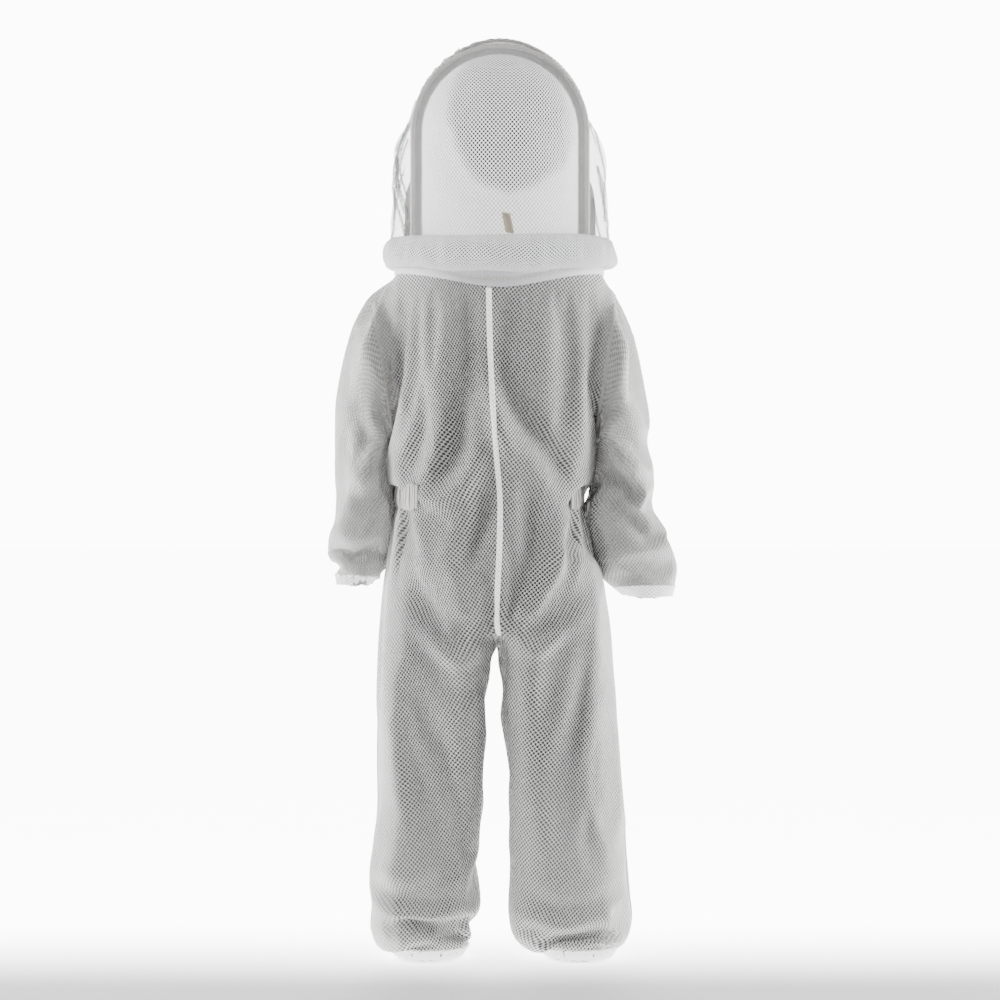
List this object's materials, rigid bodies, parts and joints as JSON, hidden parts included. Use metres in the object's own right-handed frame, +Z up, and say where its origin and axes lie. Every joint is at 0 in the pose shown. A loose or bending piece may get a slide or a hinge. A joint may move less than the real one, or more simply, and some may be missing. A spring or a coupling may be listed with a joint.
{
  "type": "beekeeping suit",
  "caption": "Ventilated mesh beekeeping coverall for a child, with a hooped hood, net veil, neck and front zips and elastic wrists, waist and hems.",
  "frame": {"origin": "at hem level under the middle of the suit's outline", "axes": "+Z up, the suit's front faces -Y, the wearer's left is +X"},
  "size_m": [0.488, 0.3072, 1.255],
  "materials": {
    "mesh": "matt three-layer diamond mesh",
    "binding": "woven tape",
    "elastic": "ribbed elastic",
    "zip_tape": "satin woven tape",
    "zip_teeth": "satin",
    "zip_metal": "satin",
    "veil_net": "open net",
    "rod": "smooth",
    "loop_tape": "folded tape"
  },
  "bodies": {
    "root": {"back_panel_left": "mesh", "back_panel_right": "mesh", "front_panel_left": "mesh", "front_panel_right": "mesh", "armhole_binding_left": "binding", "armhole_binding_right": "binding", "centre_back_binding": "binding", "side_binding_hip_left": "binding", "side_binding_hip_right": "binding", "waist_elastic_left": "elastic", "waist_elastic_right": "elastic", "side_binding_rib_left": "binding", "side_binding_rib_right": "binding", "main_zip_tape_left": "zip_tape", "main_zip_tape_right": "zip_tape", "main_zip_teeth": "zip_teeth", "main_zip_stop": "zip_teeth", "throat_flap_tab": "mesh", "throat_loop_pad": "binding", "neck_zip_lower_tape": "zip_tape", "neck_zip_teeth": "zip_teeth", "chest_pocket": "mesh", "chest_pocket_welt": "binding", "hip_pocket_left": "mesh", "hip_pocket_right": "mesh", "leg_left": "mesh", "leg_right": "mesh", "knee_patch_left": "mesh", "knee_patch_right": "mesh", "ankle_elastic_left": "elastic", "ankle_elastic_right": "elastic"},
    "hood": {"hood_back_panel": "mesh", "hood_crown": "mesh", "veil": "veil_net", "hood_collar": "mesh", "hanger_loop": "loop_tape", "rear_hoop_channel": "binding", "rear_hoop_rod": "rod", "front_hoop_channel": "binding", "front_hoop_rod": "rod", "neck_zip_upper_tape": "zip_tape"},
    "sleeve_left": {"sleeve_left": "mesh", "wrist_elastic_left": "elastic"},
    "sleeve_right": {"sleeve_right": "mesh", "wrist_elastic_right": "elastic"},
    "main_slider": {"main_zip_slider": "zip_metal"},
    "main_pull": {"main_zip_pull": "zip_metal"},
    "neck_slider_left": {"neck_zip_slider_left": "zip_metal", "neck_zip_pull_left": "zip_metal"},
    "neck_slider_right": {"neck_zip_slider_right": "zip_metal", "neck_zip_pull_right": "zip_metal"},
    "throat_flap": {"throat_flap": "mesh"},
    "pocket_flap": {"chest_pocket_flap": "mesh"}
  },
  "joints": [
    {"name": "hood_fold", "type": "hinge", "parent": "root", "child": "hood", "pos_m": [0, 0.1425, 0.924], "axis": [-1, 0, 0], "range_deg": [0, 120]},
    {"name": "sleeve_left_raise", "type": "hinge", "parent": "root", "child": "sleeve_left", "pos_m": [0.156, 0.0245, 0.916], "axis": [0, -1, 0], "range_deg": [0, 75]},
    {"name": "sleeve_right_raise", "type": "hinge", "parent": "root", "child": "sleeve_right", "pos_m": [-0.156, 0.0245, 0.916], "axis": [0, 1, 0], "range_deg": [0, 75]},
    {"name": "main_zip_slide", "type": "slide", "parent": "root", "child": "main_slider", "axis": [0, 0, -1], "range_m": [0, 0.36]},
    {"name": "main_pull_swing", "type": "hinge", "parent": "main_slider", "child": "main_pull", "pos_m": [0, -0.0909, 0.87], "axis": [-1, 0, 0], "range_deg": [0, 100]},
    {"name": "neck_slide_left", "type": "hinge", "parent": "root", "child": "neck_slider_left", "pos_m": [0, 0.06825, 0.98817], "axis": [0, -0.4048, 0.9144], "range_deg": [0, 22]},
    {"name": "neck_slide_right", "type": "hinge", "parent": "root", "child": "neck_slider_right", "pos_m": [0, 0.06825, 0.98817], "axis": [0, 0.4048, -0.9144], "range_deg": [0, 22]},
    {"name": "throat_flap_open", "type": "hinge", "parent": "root", "child": "throat_flap", "pos_m": [0.033, -0.1, 0.905], "axis": [0, 0, 1], "range_deg": [0, 150]},
    {"name": "pocket_flap_open", "type": "hinge", "parent": "root", "child": "pocket_flap", "pos_m": [0.059, -0.0892, 0.8122], "axis": [-1, 0, 0], "range_deg": [0, 110]}
  ]
}
